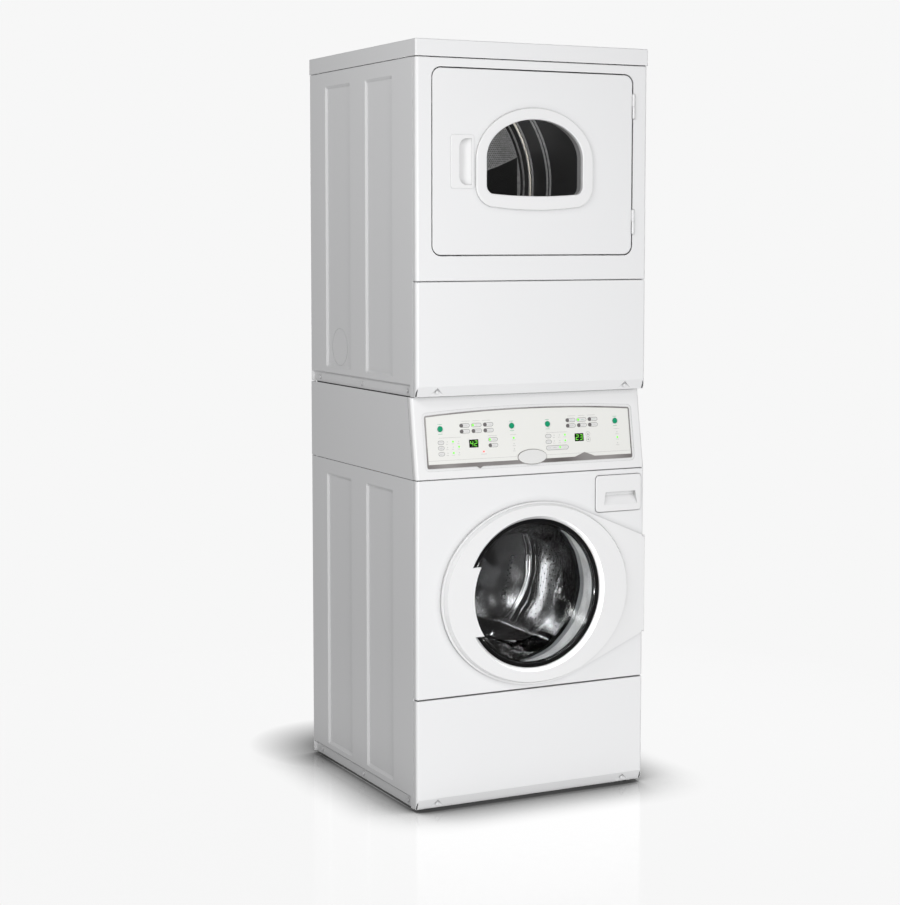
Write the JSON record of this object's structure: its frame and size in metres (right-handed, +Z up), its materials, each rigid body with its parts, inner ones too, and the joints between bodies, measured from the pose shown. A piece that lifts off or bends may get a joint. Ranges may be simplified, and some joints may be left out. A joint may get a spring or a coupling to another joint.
{
  "type": "stacked washer and tumble dryer",
  "caption": "White commercial laundry stack: a tumble dryer with an arched window over a front-load washer with a round glass door, one control console between them.",
  "frame": {"origin": "on the floor under the middle of the machine's width and depth", "axes": "+Z up, the front with both doors faces -Y, +X to the right of someone facing the front"},
  "size_m": [0.686, 0.738, 1.984],
  "materials": {
    "white_paint": "gloss",
    "door_plastic": "satin",
    "overlay_film": "satin",
    "trim_metallic": "metallic satin",
    "button_green": "gloss",
    "zinc_steel": "galvanized",
    "stainless": "satin",
    "clear_glass": "clear",
    "rubber_grey": "matte",
    "rubber_black": "matte",
    "felt": "felt",
    "motor_paint": "satin",
    "cast_weight": "raw cast",
    "grey_plastic": "satin",
    "circuit_green": "satin",
    "brass": "satin"
  },
  "bodies": {
    "cabinet": {"base_frame": "zinc_steel", "blower_housing": "grey_plastic", "console_fascia": "door_plastic", "console_side_covers": "white_paint", "console_trim": "trim_metallic", "control_board": "circuit_green", "damper_cylinders": "grey_plastic", "dispenser_housing": "grey_plastic", "drain_pump": "grey_plastic", "drum_belt": "rubber_black", "drum_felt_seals": "felt", "dryer_access_panel": "white_paint", "dryer_base_deck": "zinc_steel", "dryer_front_bulkhead": "zinc_steel", "dryer_front_panel": "white_paint", "dryer_motor": "motor_paint", "dryer_rear_bulkhead": "zinc_steel", "exhaust_duct": "zinc_steel", "heater_box": "zinc_steel", "hinge_and_latch_set": "zinc_steel", "idler_arm": "zinc_steel", "inlet_valves": "brass", "keypad_overlay": "overlay_film", "levelling_feet": "rubber_black", "panel_screws": "zinc_steel", "rear_panels": "zinc_steel", "side_panels": "white_paint", "top_panel": "white_paint", "washer_front_panel": "white_paint", "washer_toe_panel": "white_paint"},
    "dryer_door": {"dryer_door_outer": "white_paint", "dryer_door_handle": "door_plastic", "dryer_window_bezel": "door_plastic", "dryer_window_glass": "clear_glass", "dryer_door_liner": "zinc_steel", "dryer_door_seal": "felt"},
    "washer_door": {"washer_door_frame": "door_plastic", "washer_door_inner": "grey_plastic", "washer_door_glass": "clear_glass"},
    "tub": {"tub_shell": "grey_plastic", "counterweight": "cast_weight", "washer_motor": "motor_paint", "washer_belt": "rubber_black", "damper_rods": "zinc_steel", "tub_springs": "zinc_steel", "door_gasket": "rubber_grey"},
    "basket": {"wash_drum": "stainless", "drum_pulley": "zinc_steel"},
    "washer_drive": {"washer_motor_pulley": "zinc_steel"},
    "dryer_drum": {"dryer_drum": "stainless"},
    "blower": {"motor_shaft": "grey_plastic"},
    "idler_wheel": {"idler_pulley": "grey_plastic"},
    "roller_left": {"support_roller_left": "rubber_black"},
    "roller_right": {"support_roller_right": "rubber_black"},
    "lint_filter": {"lint_filter": "grey_plastic"},
    "dispenser_drawer": {"dispenser_drawer": "door_plastic"},
    "washer_start_button": {"washer_start_button": "button_green"},
    "washer_stop_button": {"washer_stop_button": "button_green"},
    "dryer_start_button": {"dryer_start_button": "button_green"},
    "dryer_stop_button": {"dryer_stop_button": "button_green"}
  },
  "joints": [
    {"name": "dryer_door_hinge", "type": "hinge", "parent": "cabinet", "child": "dryer_door", "pos_m": [0.2985, -0.35, 1.68], "axis": [0, 0, 1], "range_deg": [0, 165]},
    {"name": "washer_door_hinge", "type": "hinge", "parent": "cabinet", "child": "washer_door", "pos_m": [0.3373, -0.3535, 0.552], "axis": [0, 0, 1], "range_deg": [0, 160]},
    {"name": "tub_suspension", "type": "slide", "parent": "cabinet", "child": "tub", "axis": [0, 0, 1], "range_m": [-0.01, 0.01], "stiffness_N_per_m": 20000, "springref_m": 0.0319, "deforming": ["tub_springs", "door_gasket"]},
    {"name": "basket_spin", "type": "hinge", "parent": "tub", "child": "basket", "pos_m": [0, -0.049, 0.552], "axis": [0, 1, 0], "continuous": true},
    {"name": "washer_drive_spin", "type": "hinge", "parent": "tub", "child": "washer_drive", "pos_m": [0.105, 0.201, 0.135], "axis": [0, 1, 0], "continuous": true},
    {"name": "dryer_drum_spin", "type": "hinge", "parent": "cabinet", "child": "dryer_drum", "pos_m": [0, -0.004, 1.64], "axis": [0, 1, 0], "continuous": true},
    {"name": "blower_spin", "type": "hinge", "parent": "cabinet", "child": "blower", "pos_m": [-0.11, -0.149, 1.195], "axis": [0, 1, 0], "continuous": true},
    {"name": "idler_spin", "type": "hinge", "parent": "cabinet", "child": "idler_wheel", "pos_m": [0.008, -0.019, 1.222], "axis": [0, 1, 0], "continuous": true},
    {"name": "roller_left_spin", "type": "hinge", "parent": "cabinet", "child": "roller_left", "pos_m": [-0.19109, 0.255, 1.33419], "axis": [0, 1, 0], "continuous": true},
    {"name": "roller_right_spin", "type": "hinge", "parent": "cabinet", "child": "roller_right", "pos_m": [0.19109, 0.255, 1.33419], "axis": [0, 1, 0], "continuous": true},
    {"name": "lint_filter_lift", "type": "slide", "parent": "cabinet", "child": "lint_filter", "axis": [0, 0, 1], "range_m": [0, 0.15]},
    {"name": "dispenser_drawer_slide", "type": "slide", "parent": "cabinet", "child": "dispenser_drawer", "axis": [0, -1, 0], "range_m": [0, 0.19]},
    {"name": "washer_start_button_press", "type": "slide", "parent": "cabinet", "child": "washer_start_button", "axis": [0, 0.9874, -0.1584], "range_m": [0, 0.0008], "stiffness_N_per_m": 500, "springref_m": -0.001},
    {"name": "washer_stop_button_press", "type": "slide", "parent": "cabinet", "child": "washer_stop_button", "axis": [0, 0.9874, -0.1584], "range_m": [0, 0.0008], "stiffness_N_per_m": 500, "springref_m": -0.001},
    {"name": "dryer_start_button_press", "type": "slide", "parent": "cabinet", "child": "dryer_start_button", "axis": [0, 0.9874, -0.1584], "range_m": [0, 0.0008], "stiffness_N_per_m": 500, "springref_m": -0.001},
    {"name": "dryer_stop_button_press", "type": "slide", "parent": "cabinet", "child": "dryer_stop_button", "axis": [0, 0.9874, -0.1584], "range_m": [0, 0.0008], "stiffness_N_per_m": 500, "springref_m": -0.001}
  ],
  "couplings": [
    {"joint": "washer_drive_spin", "follows": "basket_spin", "ratio": 9.25},
    {"joint": "blower_spin", "follows": "dryer_drum_spin", "ratio": 32.22},
    {"joint": "idler_spin", "follows": "dryer_drum_spin", "ratio": 13.425},
    {"joint": "roller_left_spin", "follows": "dryer_drum_spin", "ratio": -8.4789},
    {"joint": "roller_right_spin", "follows": "dryer_drum_spin", "ratio": -8.4789}
  ]
}
